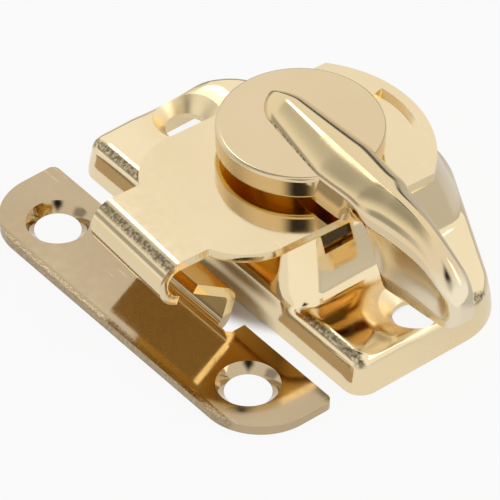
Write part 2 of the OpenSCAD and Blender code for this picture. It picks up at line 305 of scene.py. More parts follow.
def finish(piece, node, body, smooth=35.0, turn=0.0):
    """Shade a piece, turn it to its rest angle, bring it to metres and let it stand for its solid."""
    take(piece)
    piece.data.transform(Matrix.Rotation(turn, 4, "Z"))
    piece.data.transform(Matrix.Scale(MM, 4))
    bpy.ops.object.shade_smooth_by_angle(angle=math.radians(smooth))
    modifier = piece.modifiers.new("flat faces lead", "WEIGHTED_NORMAL")
    modifier.keep_sharp = True
    modifier.weight = 80
    bpy.ops.object.modifier_apply(modifier=modifier.name)
    piece.data.materials.clear()
    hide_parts(node)
    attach(piece, body)
    return piece


def arc(centre, radius, start, end, steps):
    """Points along an arc, in degrees."""
    return [(centre[0] + radius * math.cos(math.radians(start + (end - start) * i / steps)),
             centre[1] + radius * math.sin(math.radians(start + (end - start) * i / steps)))
            for i in range(steps + 1)]


def ease(value, start, end):
    """How far a value has come from start to end, slow at both."""
    share = min(max((value - start) / (end - start), 0.0), 1.0)
    return share * share * (3.0 - 2.0 * share)


def mix(a, b, share):
    """A share of the way from one size to another."""
    return a + (b - a) * share


def round_off(share):
    """Height of a quarter round, from 1 at its crown to 0 at its end."""
    return math.sqrt(max(0.0, 1.0 - share * share))


# Base pressing

BASE_CIRCLES = [
    (BASE_HALF - END_CORNER, END_CORNER_BACK, END_CORNER), (END_CORNER - BASE_HALF, END_CORNER_BACK, END_CORNER),
    (0.0, BASE_BACK - BACK_CORNER, BACK_CORNER),
    (BASE_HALF - FRONT_CORNER, FRONT_CORNER - BASE_FRONT, FRONT_CORNER),
    (FRONT_CORNER - BASE_HALF, FRONT_CORNER - BASE_FRONT, FRONT_CORNER),
]
FACING = np.radians(np.arange(0.0, 360.0, 0.2))


def reach(angles, circles, inset=0.0):
    """How far the outline round some circles is from the pivot, in each direction."""
    facing_x, facing_y = np.cos(FACING), np.sin(FACING)
    support = np.max([x * facing_x + y * facing_y + r for x, y, r in circles], axis=0) - inset
    found = []
    for angle in angles:
        towards = np.cos(FACING - angle)
        ahead = towards > 0.03
        found.append(float(np.min(support[ahead] / towards[ahead])))
    return np.array(found)


def housing_reach(angles, slope, inset=0.0):
    """The raised housing's outline at a share of its height."""
    half = mix(HOUSING_FOOT_HALF, HOUSING_TOP_HALF, slope)
    front = mix(BASE_FRONT - FOOT_STEP, HOUSING_TOP_FRONT, slope)
    sweep = mix(HOUSING_FOOT_SWEEP, HOUSING_TOP_SWEEP, slope)
    sides = [(side * (half - HOUSING_CORNER), y, HOUSING_CORNER)
             for side in (-1, 1) for y in (HOUSING_CORNER - front, 40.0)]
    walls = reach(angles, sides, inset)
    back = np.full(len(angles), sweep - inset)
    blend = 1.2
    near = np.maximum(blend - np.abs(walls - back), 0.0) / blend
    return np.minimum(walls, back) - near * near * blend * 0.25


def rounded(path, radius):
    """A path with its corners eased, by averaging along its length."""
    points = np.array(path)
    steps = np.linalg.norm(np.diff(points, axis=0), axis=1)
    length = np.concatenate([[0.0], np.cumsum(steps)])
    offsets = np.linspace(-1.0, 1.0, 9)
    weights = np.exp(-2.0 * offsets ** 2)
    weights /= weights.sum()
    eased = np.zeros_like(points)
    room = np.minimum(radius, np.minimum(length, length[-1] - length))
    for offset, weight in zip(offsets, weights):
        at = length + offset * room
        eased += weight * np.column_stack([np.interp(at, length, points[:, k]) for k in range(2)])
    return eased


def base_directions():
    """Directions round the base, closer together at its corners."""
    angles = np.linspace(0.0, 2.0 * math.pi, 1441)[:-1]
    far = reach(angles, BASE_CIRCLES, FOOT_STEP)
    x, y = far * np.cos(angles), far * np.sin(angles)
    steps = np.hypot(np.diff(x, append=x[0]), np.diff(y, append=y[0]))
    heading = np.unwrap(np.arctan2(np.diff(y, append=y[0]), np.diff(x, append=x[0])))
    turning = np.abs(np.diff(heading, prepend=heading[-1] - 2.0 * math.pi))
    cost = np.cumsum(steps + 5.0 * turning + 8.0 * np.diff(angles, append=2.0 * math.pi))
    wanted = np.linspace(0.0, cost[-1], 421)[:-1]
    return np.interp(wanted, np.concatenate([[0.0], cost]), np.append(angles, 2.0 * math.pi))


def from_screw(x, y):
    """How far a point is from the nearer screw's line."""
    return min(math.hypot(x - side * BASE_SCREW_X, y) for side in (-1, 1))


def dish(x, y, z):
    """How far the sheet is drawn down round a screw hole."""
    return DISH_DEPTH * (1.0 - ease(from_screw(x, y), BASE_COUNTERSINK - 0.6, DISH_REACH)) * ease(z, 2.2, 3.6)


def dimple(x, y, z):
    """How far the inside of the sheet hangs down round a screw hole."""
    return (DIMPLE_DEPTH - 0.4) * (1.0 - ease(from_screw(x, y), 3.4, 5.6)) * ease(z, 1.6, 3.4)


def base_profiles(angles):
    """The cup's profile in each direction: up the outside from foot to bore, then back down the inside."""
    foot = reach(angles, BASE_CIRCLES)
    bends = [math.radians(90.0 * i / BEND_STEPS) for i in range(BEND_STEPS + 1)]
    slopes = [i / HOUSING_STEPS for i in range(HOUSING_STEPS + 1)]
    inner_radius = BASE_BEND - BASE_SHEET
    under, shelf = HOUSING_TOP - BASE_SHEET, FLAT_HEIGHT - BASE_SHEET

    def bend_rings(inset, radius):
        return [reach(angles, BASE_CIRCLES, inset + radius * (1.0 - math.cos(turn))) for turn in bends]

    outer_bend = bend_rings(FOOT_STEP, BASE_BEND)
    inner_bend = bend_rings(FOOT_STEP + BASE_SHEET, inner_radius)
    outer_wall = [housing_reach(angles, slope) for slope in slopes]
    inner_wall = [housing_reach(angles, slope, BASE_SHEET) for slope in slopes]

    def outside(k):
        house = outer_wall[0][k]
        path = [(foot[k], 0.0), (foot[k], FOOT_HEIGHT * 0.4), (foot[k] - FOOT_DRAFT, FOOT_HEIGHT * 0.7)]
        path += [(mix(foot[k] - 2.0 * FOOT_DRAFT, outer_bend[0][k], ease(i, 0, 6)),
                  mix(FOOT_HEIGHT, FLAT_HEIGHT - BASE_BEND, i / 6.0)) for i in range(6)]
        path += [(max(ring[k], house), FLAT_HEIGHT - BASE_BEND * (1.0 - math.sin(turn)))
                 for ring, turn in zip(outer_bend, bends)]
        start = max(outer_bend[-1][k], house)
        path += [(mix(start, house, i / 16.0), FLAT_HEIGHT) for i in range(1, 17)]
        path += [(wall[k], mix(FLAT_HEIGHT, HOUSING_TOP, slope)) for wall, slope in zip(outer_wall[1:], slopes[1:])]
        path += [(mix(outer_wall[-1][k], BORE, i / 10.0), HOUSING_TOP) for i in range(1, 11)]
        return rounded(path, PRESS_ROUND)

    def inside(k):
        low = inner_wall[0][k]
        top = mix(low, inner_wall[-1][k], (under - FLAT_HEIGHT) / (HOUSING_TOP - FLAT_HEIGHT))
        path = [(mix(BORE, top, i / 6.0), under) for i in range(7)]
        path += [(mix(top, low, i / 8.0), mix(under, FLAT_HEIGHT, i / 8.0)) for i in range(1, 9)]
        start = max(inner_bend[-1][k], low)
        path += [(mix(low, start, i / 10.0), shelf) for i in range(11)]
        path += [(max(ring[k], low), shelf - inner_radius * (1.0 - math.sin(turn)))
                 for ring, turn in zip(inner_bend[-2::-1], bends[-2::-1])]
        path += [(inner_bend[0][k], mix(shelf - inner_radius, 0.0, i / 4.0)) for i in range(1, 5)]
        return path

    return [(outside(k), inside(k)) for k in range(len(angles))]


def countersink_base(base, place):
    """Cut a screw hole and its countersink, and round the rim."""
    rim = FLAT_HEIGHT - DISH_DEPTH
    depth = DIMPLE_DEPTH - DISH_DEPTH
    slope = (BASE_COUNTERSINK - BASE_SCREW_HOLE) / depth
    combine(base, cone(BASE_SCREW_HOLE, BASE_COUNTERSINK + 2.0 * slope, rim - depth, rim + 2.0, place), "DIFFERENCE")
    combine(base, cone(BASE_SCREW_HOLE, BASE_SCREW_HOLE, -1.0, FLAT_HEIGHT, place), "DIFFERENCE")

    def on_rim(a, b):
        away = [math.hypot(end.x - place[0], end.y - place[1]) for end in (a, b)]
        level = min(a.z, b.z) > rim - 0.5 and abs(away[0] - away[1]) < 0.12
        return level and all(abs(far - BASE_COUNTERSINK) < 0.45 for far in away)

    pick_edges(base, on_rim)
    bpy.ops.mesh.bevel(offset=RIM_ROUND, segments=6, profile=0.5, affect="EDGES", clamp_overlap=True)
    bpy.ops.object.mode_set(mode="OBJECT")


def make_base():
    """The drawn cup with its raised housing, screw holes and front window."""
    rings = []
    angles = base_directions()
    for angle, (outside, inside) in zip(angles, base_profiles(angles)):
        ring = []
        for path, drawn in ((outside, dish), (inside, dimple)):
            for r, z in path:
                x, y = r * math.cos(angle), r * math.sin(angle)
                ring.append((x, y, z - drawn(x, y, z)))
        rings.append(ring)
    base = loft("base_pressing", rings + [rings[0]], close_ends=False)
    for side in (-1, 1):
        countersink_base(base, (side * BASE_SCREW_X, 0.0))
    clear()
    window_top = HOUSING_TOP + 0.95
    bpy.ops.mesh.primitive_cube_add(size=1.0, location=(12.5, (WINDOW_FRONT + WINDOW_BACK) / 2,
                                                        (WINDOW_LOW + window_top) / 2))
    window = bpy.context.object
    window.scale = (6.0, WINDOW_BACK - WINDOW_FRONT, window_top - WINDOW_LOW)
    bpy.ops.object.transform_apply(location=True, rotation=True, scale=True)
    combine(base, window, "DIFFERENCE")
    return base


# Keeper strip with its folded tongue

def fold(piece, angle, centre, steps):
    """Draw the selected end face round an axis along the rails, a step at a time."""
    step = Matrix.Rotation(angle / steps, 4, "X")
    about = Matrix.Translation(Vector(centre)) @ step @ Matrix.Translation(-Vector(centre))
    for _ in range(steps):
        bpy.ops.mesh.extrude_region_move(TRANSFORM_OT_translate={"value": (0.0, 0.0, 0.0)})
        shape = bmesh.from_edit_mesh(piece.data)
        bmesh.ops.transform(shape, matrix=about, verts=[vertex for vertex in shape.verts if vertex.select])
        bmesh.update_edit_mesh(piece.data)


def make_keeper():
    """The pressed strip, notched beside the tongue that is folded up out of it."""
    corner = KEEPER_HALF - KEEPER_CORNER
    rise = KEEPER_OUTER + KEEPER_CORNER
    root = KEEPER_INNER - TONGUE_ROOT
    outline = arc((corner, rise), KEEPER_CORNER, -90, 0, 24)
    back_x, back_y = KEEPER_HALF - KEEPER_BACK_CORNER, KEEPER_INNER - KEEPER_BACK_CORNER
    outline += arc((back_x, back_y), KEEPER_BACK_CORNER, 0, 90, 6)
    notch_half = TONGUE_HALF + NOTCH
    for side in (1, -1):
        notch = [(side * notch_half, KEEPER_INNER), (side * notch_half, root + NOTCH_CORNER),
                 (side * (notch_half - NOTCH_CORNER), root), (side * TONGUE_HALF, root)]
        outline += notch if side > 0 else notch[::-1]
    outline += arc((-back_x, back_y), KEEPER_BACK_CORNER, 90, 180, 6)
    outline += arc((-corner, rise), KEEPER_CORNER, 180, 270, 24)
    outline = [(x + KEEPER_SHIFT, y) for x, y in outline]
    keeper = blank("keeper_strip", outline, 0.0, KEEPER_SHEET)

    def on_tongue(face):
        return face.normal.y > 0.9 and abs(face.center.y - root) < 0.01 and face.area > 2.0 * TONGUE_HALF * 0.9

    pick_faces(keeper, on_tongue)
    middle = KEEPER_SHEET / 2
    fold(keeper, TONGUE_UP, (0.0, root, middle + TONGUE_UP_BEND), 12)
    way = Vector((0.0, math.cos(TONGUE_UP), math.sin(TONGUE_UP)))
    bpy.ops.mesh.extrude_region_move(TRANSFORM_OT_translate={"value": way * TONGUE_RISE})
    tip = Vector((0.0, root + TONGUE_UP_BEND * math.sin(TONGUE_UP),
                  middle + TONGUE_UP_BEND * (1.0 - math.cos(TONGUE_UP)))) + way * TONGUE_RISE
    across = Vector((0.0, -math.sin(TONGUE_UP), math.cos(TONGUE_UP)))
    fold(keeper, TONGUE_BACK, tip + across * TONGUE_BACK_BEND, 12)
    leaning = TONGUE_UP + TONGUE_BACK
    way = Vector((0.0, math.cos(leaning), math.sin(leaning)))
    bpy.ops.mesh.extrude_region_move(TRANSFORM_OT_translate={"value": way * TONGUE_LIP})
    bpy.ops.object.mode_set(mode="OBJECT")
    tidy_mesh(keeper, 1e-4)

    def on_outer_rim(a, b):
        level = min(a.z, b.z) > KEEPER_SHEET - 0.01 and max(a.z, b.z) < KEEPER_SHEET + 0.01
        ends = all(abs(abs(end.x - KEEPER_SHIFT) - KEEPER_HALF) < 0.01 for end in (a, b))
        curve = max(a.y, b.y) < rise + 0.01
        return level and (ends or curve)

    pick_edges(keeper, on_outer_rim)
    bpy.ops.mesh.bevel(offset=KEEPER_ROLL, segments=6, profile=0.5, affect="EDGES", clamp_overlap=True)
    bpy.ops.object.mode_set(mode="OBJECT")
    for side in (-1, 1):
        place = (side * KEEPER_SCREW + KEEPER_SHIFT, KEEPER_LINE)
        slope = (KEEPER_COUNTERSINK - KEEPER_SCREW_HOLE) / KEEPER_SHEET
        cutter = cone(KEEPER_SCREW_HOLE - slope, KEEPER_COUNTERSINK + slope, -1.0, KEEPER_SHEET + 1.0, place)
        combine(keeper, cutter, "DIFFERENCE")
    soften(keeper, KEEPER_EDGE, 3, 40.0)
    return keeper


# Cam plate with its hook

def make_cam():
    """The plate, with the tab at its front folded down and under into the hook."""
    right, left = CAM_SHIFT + CAM_HALF, CAM_SHIFT - CAM_HALF
    start = math.degrees(math.acos(right / CAM_BACK))
    end = math.degrees(math.acos(left / CAM_BACK))
    corner_y = CAM_FRONT + CAM_CORNER
    meet = math.degrees(math.acos((HOOK_HALF - (CAM_HALF - CAM_CORNER)) / CAM_CORNER))
    notch_y = corner_y - CAM_CORNER * math.sin(math.radians(meet)) - HOOK_NOTCH
    outline = arc((0.0, 0.0), CAM_BACK, start, end, 72)
    outline += arc((left + CAM_CORNER, corner_y), CAM_CORNER, 180, 180 + meet, 30)
    outline += [(CAM_SHIFT - HOOK_HALF, notch_y), (CAM_SHIFT - HOOK_HALF, HOOK_TAB)]
    outline += [(CAM_SHIFT + HOOK_HALF, HOOK_TAB), (CAM_SHIFT + HOOK_HALF, notch_y)]
    outline += arc((right - CAM_CORNER, corner_y), CAM_CORNER, -meet, 0, 30)
    cam = blank("cam_hook", outline, CAM_UNDER, CAM_TOP)

    def on_tab(face):
        return face.normal.y < -0.9 and abs(face.center.y - HOOK_TAB) < 0.01

    pick_faces(cam, on_tab)
    sheet = CAM_TOP - CAM_UNDER
    turn_y = HOOK_REACH + HOOK_BEND + sheet
    bpy.ops.mesh.extrude_region_move(TRANSFORM_OT_translate={"value": (0.0, turn_y - HOOK_TAB, 0.0)})
    middle = (CAM_TOP + CAM_UNDER) / 2
    bend = HOOK_BEND + sheet / 2
    fold(cam, HOOK_DOWN, (0.0, turn_y, middle - bend), FOLD_STEPS)
    tip = Vector((0.0, turn_y - bend * math.sin(HOOK_DOWN), middle - bend + bend * math.cos(HOOK_DOWN)))
    inward = Vector((0.0, math.sin(HOOK_DOWN), -math.cos(HOOK_DOWN)))
    fold(cam, HOOK_OVER, tip + inward * (HOOK_CURL + sheet / 2), FOLD_STEPS)
    bpy.ops.object.mode_set(mode="OBJECT")
    tidy_mesh(cam, 1e-4)
    sector = arc((0.0, 0.0), RECESS_OUTER, RECESS_FROM, RECESS_TO, 24)
    sector += arc((0.0, 0.0), RECESS_INNER, RECESS_TO, RECESS_FROM, 24)
    recess = blank("recess", sector, CAM_TOP - RECESS_DEPTH, CAM_TOP + RECESS_DEPTH)
    for vertex in recess.data.vertices:
        if math.hypot(vertex.co.x, vertex.co.y) > RECESS_OUTER - 0.1:
            lean = 1.0 + math.copysign(RECESS_LEAN, vertex.co.z - CAM_TOP) / RECESS_OUTER
            vertex.co.x *= lean
            vertex.co.y *= lean
    combine(cam, recess, "DIFFERENCE")
    soften(cam, CAM_EDGE, 4, 38.0)
    return cam


# Lever casting

def tip_narrowing(u):
    """How the blade rounds in towards its tip."""
    return mix(TIP_SHARE, 1.0, round_off(max(u - TIP_START, 0.0) / (LEVER_REACH - TIP_START)))


def shoulder_half(u):
    """Half the arch's width at a distance from the pivot."""
    start = NOSE_START + NOSE_ROUND
    taper = (ARCH_HALF - NOSE_HALF) / (ARCH_FULL - start)
    arch = (NOSE_HALF + taper * (min(u, ARCH_FULL) - start)) * round_off(min(u - start, 0.0) / NOSE_ROUND)
    neck = (ARCH_HALF - NECK_HALF) * ease(u, ARCH_FULL, NECK_FULL)
    blade = (NECK_HALF - BLADE_HALF) * ease(u, THIN_START, THIN_END)
    return (arch - neck - blade) * tip_narrowing(u)


def crest(u):
    """Height of the crest line."""
    nose = round_off(min(u - NOSE_START - NOSE_ROUND, 0.0) / NOSE_ROUND)
    fall = round_off(max(u - CREST_TURN, 0.0) / (LEVER_REACH - CREST_TURN))
    return DISC_TOP + CREST_RISE * nose - CREST_DROP * (1.0 - fall)


def lower_edge(u):
    """Height of the lower edge, from the neck down to the blade's heel."""
    heel = HEEL_RISE * (1.0 - round_off(max(u - HEEL_TURN, 0.0) / (LEVER_REACH - HEEL_TURN)))
    blade = BLADE_LOW + BLADE_SLOPE * max(u - BLADE_INNER, 0.0)
    return mix(DISC_UNDER - NECK_DROP, blade, ease(u, BLADE_START, BLADE_INNER)) + heel


def scoop(u, s):
    """Depth of the finger scoop at a share of the way down the blade's side."""
    along = ease(u, SCOOP_START, SCOOP_FULL) * (1.0 - ease(u, SCOOP_FADE, SCOOP_END))
    return SCOOP_DEPTH * along * math.sin(math.pi * min(s / SCOOP_FOOT, 1.0))


def lever_section(u):
    """One cross-section: the arch from side to side, then the two sides down to the lower edge."""
    half, top, low = shoulder_half(u), crest(u), lower_edge(u)
    shoulder = mix(low, top, mix(ARCH_SHARE, BLADE_SHARE, ease(u, BLADE_START, BLADE_INNER)))
    edge = mix(half + SKIRT, BLADE_EDGE * tip_narrowing(u), ease(u, SKIRT_FADE, SKIRT_END))
    points = []
    for i in range(SIDE_STEPS + 1):
        turn = math.pi * i / SIDE_STEPS
        out = math.copysign(abs(math.cos(turn)) ** CREST_POWER, math.cos(turn))
        points.append((u, half * out, mix(shoulder, top, abs(math.sin(turn)) ** CREST_POWER)))
    side = []
    for i in range(1, SIDE_STEPS + 1):
        s = i / SIDE_STEPS
        crown = SIDE_CROWN * math.sin(math.pi * s)
        side.append((mix(half, edge, s) + crown - scoop(u, s), mix(shoulder, low, s)))
    points += [(u, -v, z) for v, z in side]
    points += [(u, v, z) for v, z in side[::-1]]
    return points


def make_lever():
    """The arch and blade in one loft, joined to the disc and its hub."""
    first, last = NOSE_START + END_GAP, LEVER_REACH - END_GAP
    rows = []
    for i in range(LEVER_SECTIONS + 1):
        share = i / LEVER_SECTIONS
        crowded = (1.0 - math.cos(math.pi * share)) / 2
        rows.append(lever_section(mix(first, last, mix(share, crowded, 0.7))))
    lever = loft("lever_casting", rows, close_ends=True)
    disc = blank("disc", arc((0.0, 0.0), DISC_RADIUS, 0, 357.5, 143), DISC_UNDER, DISC_TOP)
    soften(disc, DISC_EDGE, 5, 40.0)
    hub = blank("hub", arc((0.0, 0.0), HUB_RADIUS, 0, 355, 71), CAM_TOP + 0.02, DISC_UNDER + 0.5)
    combine(disc, hub, "UNION")
    combine(lever, disc, "UNION")
    return lever


base = finish(make_base(), "base", "fixed", 32.0)
keeper = finish(make_keeper(), "keeper", "fixed")
cam = finish(make_cam(), "cam_plate", "hook", turn=REST_TURN)
lever = finish(make_lever(), "lever", "hook", 38.0, REST_TURN)


# Finishes

def feed(tree, node, name, value):
    """Join an input to another node, or set its number."""
    if isinstance(value, bpy.types.NodeSocket):
        tree.links.new(value, node.inputs[name])
    else:
        node.inputs[name].default_value = value


def work(tree, operation, first, second=0.0):
    """One step of arithmetic."""
    step = tree.nodes.new("ShaderNodeMath")
    step.operation = operation
    feed(tree, step, 0, first)
    feed(tree, step, 1, second)
    return step.outputs["Value"]


def ramp(tree, value, start, end, low=0.0, high=1.0):
    """A smooth change from low to high while a value goes from start to end."""
    step = tree.nodes.new("ShaderNodeMapRange")
    step.interpolation_type = "SMOOTHSTEP"
    for name, number in (("Value", value), ("From Min", start), ("From Max", end), ("To Min", low), ("To Max", high)):
        feed(tree, step, name, number)
    return step.outputs["Result"]


def times(tree, first, *others):
    """Several values multiplied together."""
    for other in others:
        first = work(tree, "MULTIPLY", first, other)
    return first


def past(tree, value, start, full, high=1.0):
    """Rises from 0 where a value passes from start to full, in millimetres."""
    return ramp(tree, value, start * MM, full * MM, 0.0, high)


def short_of(tree, value, fade, end):
    """Falls from 1 to 0 where a value passes from fade to end, in millimetres."""
    return ramp(tree, value, fade * MM, end * MM, 1.0, 0.0)


def between(tree, value, start, full, fade, end):
    """A band of a value, in millimetres, with soft ends."""
    return times(tree, past(tree, value, start, full), short_of(tree, value, fade, end))


def distance(tree, along, across):
    """How far a point is from where both values are nothing."""
    return work(tree, "SQRT", work(tree, "ADD", times(tree, along, along), times(tree, across, across)))


def grain(tree, where, scale, detail, seed, stretch=(1.0, 1.0, 1.0), turn=0.0):
    """Noise over the piece, drawn out where it is stretched."""
    aim = tree.nodes.new("ShaderNodeMapping")
    aim.inputs["Scale"].default_value = stretch
    aim.inputs["Rotation"].default_value = (0.0, 0.0, turn)
    feed(tree, aim, "Vector", where)
    texture = tree.nodes.new("ShaderNodeTexNoise")
    texture.noise_dimensions = "4D"
    texture.inputs["Scale"].default_value = scale
    texture.inputs["Detail"].default_value = detail
    feed(tree, texture, "Vector", aim.outputs["Vector"])
    feed(tree, texture, "W", seed)
    return texture.outputs["Fac"]


def plate_group():
    """Polished plate: drift of tone, haze, waviness, orange peel, hairlines, pits and sheared edges."""
    group = bpy.data.node_groups.new("polished_plate", "ShaderNodeTree")
    group.interface.new_socket("Seed", in_out="INPUT", socket_type="NodeSocketFloat")
    for name in ("Drift", "Haze", "Wave", "Peel", "Hairlines", "Pits", "Shear", "Grain"):
        group.interface.new_socket(name, in_out="OUTPUT", socket_type="NodeSocketFloat")
    entry, leave = group.nodes.new("NodeGroupInput"), group.nodes.new("NodeGroupOutput")
    texture = group.nodes.new("ShaderNodeTexCoord")
    where, seed = texture.outputs["Object"], entry.outputs["Seed"]
    lines = ramp(group, grain(group, where, 1.0, 2.0, seed, (90.0, 5200.0, 90.0), 0.5), 0.68, 0.74)
    hairlines = times(group, lines, ramp(group, grain(group, where, 160.0, 1.0, seed), 0.52, 0.62))
    cells = group.nodes.new("ShaderNodeTexVoronoi")
    cells.voronoi_dimensions = "4D"
    cells.inputs["Scale"].default_value = 330.0
    feed(group, cells, "Vector", where)
    feed(group, cells, "W", seed)
    chance = group.nodes.new("ShaderNodeSeparateColor")
    feed(group, chance, "Color", cells.outputs["Color"])
    spots = ramp(group, cells.outputs["Distance"], 0.03, 0.075, 1.0, 0.0)
    pits = times(group, spots, ramp(group, chance.outputs["Red"], 0.82, 0.88))
    facing = group.nodes.new("ShaderNodeSeparateXYZ")
    feed(group, facing, "Vector", texture.outputs["Normal"])
    upright = ramp(group, work(group, "ABSOLUTE", facing.outputs["Z"]), 0.12, 0.4, 1.0, 0.0)
    shear = times(group, upright, grain(group, where, 1.0, 2.0, seed, (3600.0, 3600.0, 420.0)))
    for name, scale, detail in (("Drift", 70.0, 3.0), ("Haze", 900.0, 4.0), ("Wave", 170.0, 1.0),
                                ("Peel", 1100.0, 2.0), ("Grain", 2600.0, 3.0)):
        feed(group, leave, name, grain(group, where, scale, detail, seed))
    for name, value in (("Hairlines", hairlines), ("Pits", pits), ("Shear", shear)):
        feed(group, leave, name, value)
    return group


POLISHED = plate_group()


def overlay(tree, under, tint, share):
    """A tint laid over a colour, by a share that changes over the piece."""
    step = tree.nodes.new("ShaderNodeMix")
    step.data_type = "RGBA"
    feed(tree, step, "Factor", share)
    feed(tree, step, "A", under)
    feed(tree, step, "B", (*tint, 1.0))
    return step.outputs["Result"]


def plate_material(name, light, deep, seed, worked=None, painted_light_tints=(), dull=None, shear=0.01, haze=(0.07, 0.11)):
    """Lacquered plate, stained where it was worked, with painted shade and painted reflections laid over it as tints,
    and dull where it is less buffed. On the lever's seam and nose the stain is painted shade too.
    """
    material = bpy.data.materials.new(name)
    material.use_nodes = True
    tree = material.node_tree
    shader = tree.nodes["Principled BSDF"]
    shader.inputs["Metallic"].default_value = 1.0
    surface = tree.nodes.new("ShaderNodeGroup")
    surface.node_tree = POLISHED
    surface.inputs["Seed"].default_value = seed
    marks = surface.outputs

    # Relief in millimetres
    height = times(tree, marks["Wave"], 0.005)
    for mark, relief in (("Peel", 0.0004), ("Shear", shear), ("Hairlines", -0.004), ("Pits", -0.03)):
        height = work(tree, "ADD", height, times(tree, marks[mark], relief))
    stain_and_shade = times(tree, marks["Pits"], 0.75)
    rough = ramp(tree, marks["Haze"], 0.3, 0.7, *haze)
    rough = work(tree, "ADD", rough, times(tree, marks["Hairlines"], 0.15))
    if worked:
        where = worked(tree)
        height = work(tree, "ADD", height, times(tree, marks["Grain"], where, 0.03))
        stain_and_shade = work(tree, "MAXIMUM", stain_and_shade, times(tree, ramp(tree, marks["Grain"], 0.4, 0.58, 0.3, 0.8), where))
        rough = work(tree, "ADD", rough, times(tree, where, 0.1))
    if dull:
        rough = work(tree, "ADD", rough, times(tree, dull(tree), 0.22))

    colour = overlay(tree, (*light, 1.0), deep, ramp(tree, marks["Drift"], 0.3, 0.7))
    # The tints are painted light: painted shade, painted amber reflections and painted lighter sides
    for where, tint in painted_light_tints:
        colour = overlay(tree, colour, tint, where(tree))
    # Darker stain from pits and worked metal; on the lever's seam and nose this darkening is painted shade
    colour = overlay(tree, colour, STAIN_AND_SHADE, stain_and_shade)
    feed(tree, shader, "Base Color", colour)
    feed(tree, shader, "Roughness", rough)
    bump = tree.nodes.new("ShaderNodeBump")
    bump.inputs["Strength"].default_value = 1.0
    bump.inputs["Distance"].default_value = MM
    feed(tree, bump, "Height", height)
    feed(tree, shader, "Normal", bump.outputs["Normal"])
    return material


def place_on(tree, turn=0.0):
    """Where a point is on its piece, along, across and up."""
    texture = tree.nodes.new("ShaderNodeTexCoord")
    aim = tree.nodes.new("ShaderNodeMapping")
    aim.inputs["Rotation"].default_value = (0.0, 0.0, turn)
    feed(tree, aim, "Vector", texture.outputs["Object"])
    parts = tree.nodes.new("ShaderNodeSeparateXYZ")
    feed(tree, parts, "Vector", aim.outputs["Vector"])
    return parts.outputs["X"], parts.outputs["Y"], parts.outputs["Z"]


def cam_worked(tree):
    """The stretched skin along the hook's fold."""
    along, across, up = place_on(tree, -REST_TURN)
    band = between(tree, across, HOOK_REACH + 0.9, HOOK_REACH + 1.3, HOOK_REACH + 1.9, HOOK_REACH + 2.3)
    return times(tree, band, past(tree, up, CAM_UNDER - 0.3, CAM_UNDER + 0.3))


def cam_shaded_hollows(tree):
    """The plate's underside and the inside of the hook, painted amber for light bounced between the brass parts, and
    made rougher.
    """
    along, across, up = place_on(tree, -REST_TURN)
    below = short_of(tree, up, CAM_UNDER + 0.05, CAM_UNDER + 0.3)
    behind = past(tree, across, HOOK_REACH + 1.4, HOOK_REACH + 1.7)
    inside = short_of(tree, work(tree, "ABSOLUTE", along), HOOK_HALF - 0.3, HOOK_HALF - 0.1)
    plate = past(tree, across, CAM_FRONT, CAM_FRONT + 0.5)
    return times(tree, below, behind, work(tree, "MAXIMUM", inside, plate))


def lever_worked_and_shaded(tree):
    """The nose, and the seam where the arch meets the disc: cast grain and roughness, with the mottled darkening as
    painted shade in the seam's crease and a painted dark reflection round the nose.
    """
    along, across, up = place_on(tree, -REST_TURN)
    seam = times(tree, between(tree, along, -4.0, -1.0, 6.0, 9.0),
                 between(tree, up, DISC_TOP + 0.02, DISC_TOP + 0.06, DISC_TOP + 0.15, DISC_TOP + 0.4),
                 past(tree, work(tree, "ABSOLUTE", across), 2.4, 2.8))
    nose = times(tree, between(tree, along, NOSE_START - 2.0, NOSE_START - 1.0, NOSE_START + 0.8, NOSE_START + 1.4),
                 past(tree, up, DISC_TOP + 0.1, DISC_TOP + 0.4))
    return work(tree, "MAXIMUM", seam, nose)


def lever_underside_painted_amber(tree):
    """Painted amber reflection under the disc and on the hub, for light bounced between the disc and the plate."""
    along, across, up = place_on(tree)
    below = short_of(tree, up, DISC_UNDER + 0.05, DISC_UNDER + 0.3)
    return times(tree, below, short_of(tree, distance(tree, along, across), DISC_RADIUS - 0.2, DISC_RADIUS + 0.6))


def lever_arch_painted_shade(tree):
    """The arch over the disc, painted a deeper yellow as painted shade for the darker reflection it shows."""
    along, across, up = place_on(tree)
    return past(tree, up, DISC_TOP + 0.05, DISC_TOP + 0.5)


def lever_sides_painted_light(tree):
    """The blade's sides below the arch, painted paler as painted light for the bright floor they reflect."""
    along, across, up = place_on(tree, -REST_TURN)
    return times(tree, past(tree, along, THIN_START, THIN_START + 2.0),
                 short_of(tree, up, DISC_UNDER - 0.3, DISC_UNDER + 1.7))


def lever_dull(tree):
    """The finger scoops, only lightly buffed, and the rubbed crest."""
    along, across, up = place_on(tree, -REST_TURN)
    scoops = times(tree, between(tree, along, SCOOP_START - 0.1, SCOOP_START + 1.4, SCOOP_END - 1.3, SCOOP_END - 0.2),
                   between(tree, up, BLADE_LOW + 1.0, BLADE_LOW + 2.5, DISC_UNDER + 0.2, DISC_UNDER + 1.4))
    rub = times(tree, between(tree, along, 4.0, 5.5, 11.0, 15.0), between(tree, across, -1.5, -0.9, -0.1, 0.4),
                past(tree, up, DISC_TOP + 0.8, DISC_TOP + 1.2, 0.5))
    return work(tree, "MAXIMUM", scoops, rub)


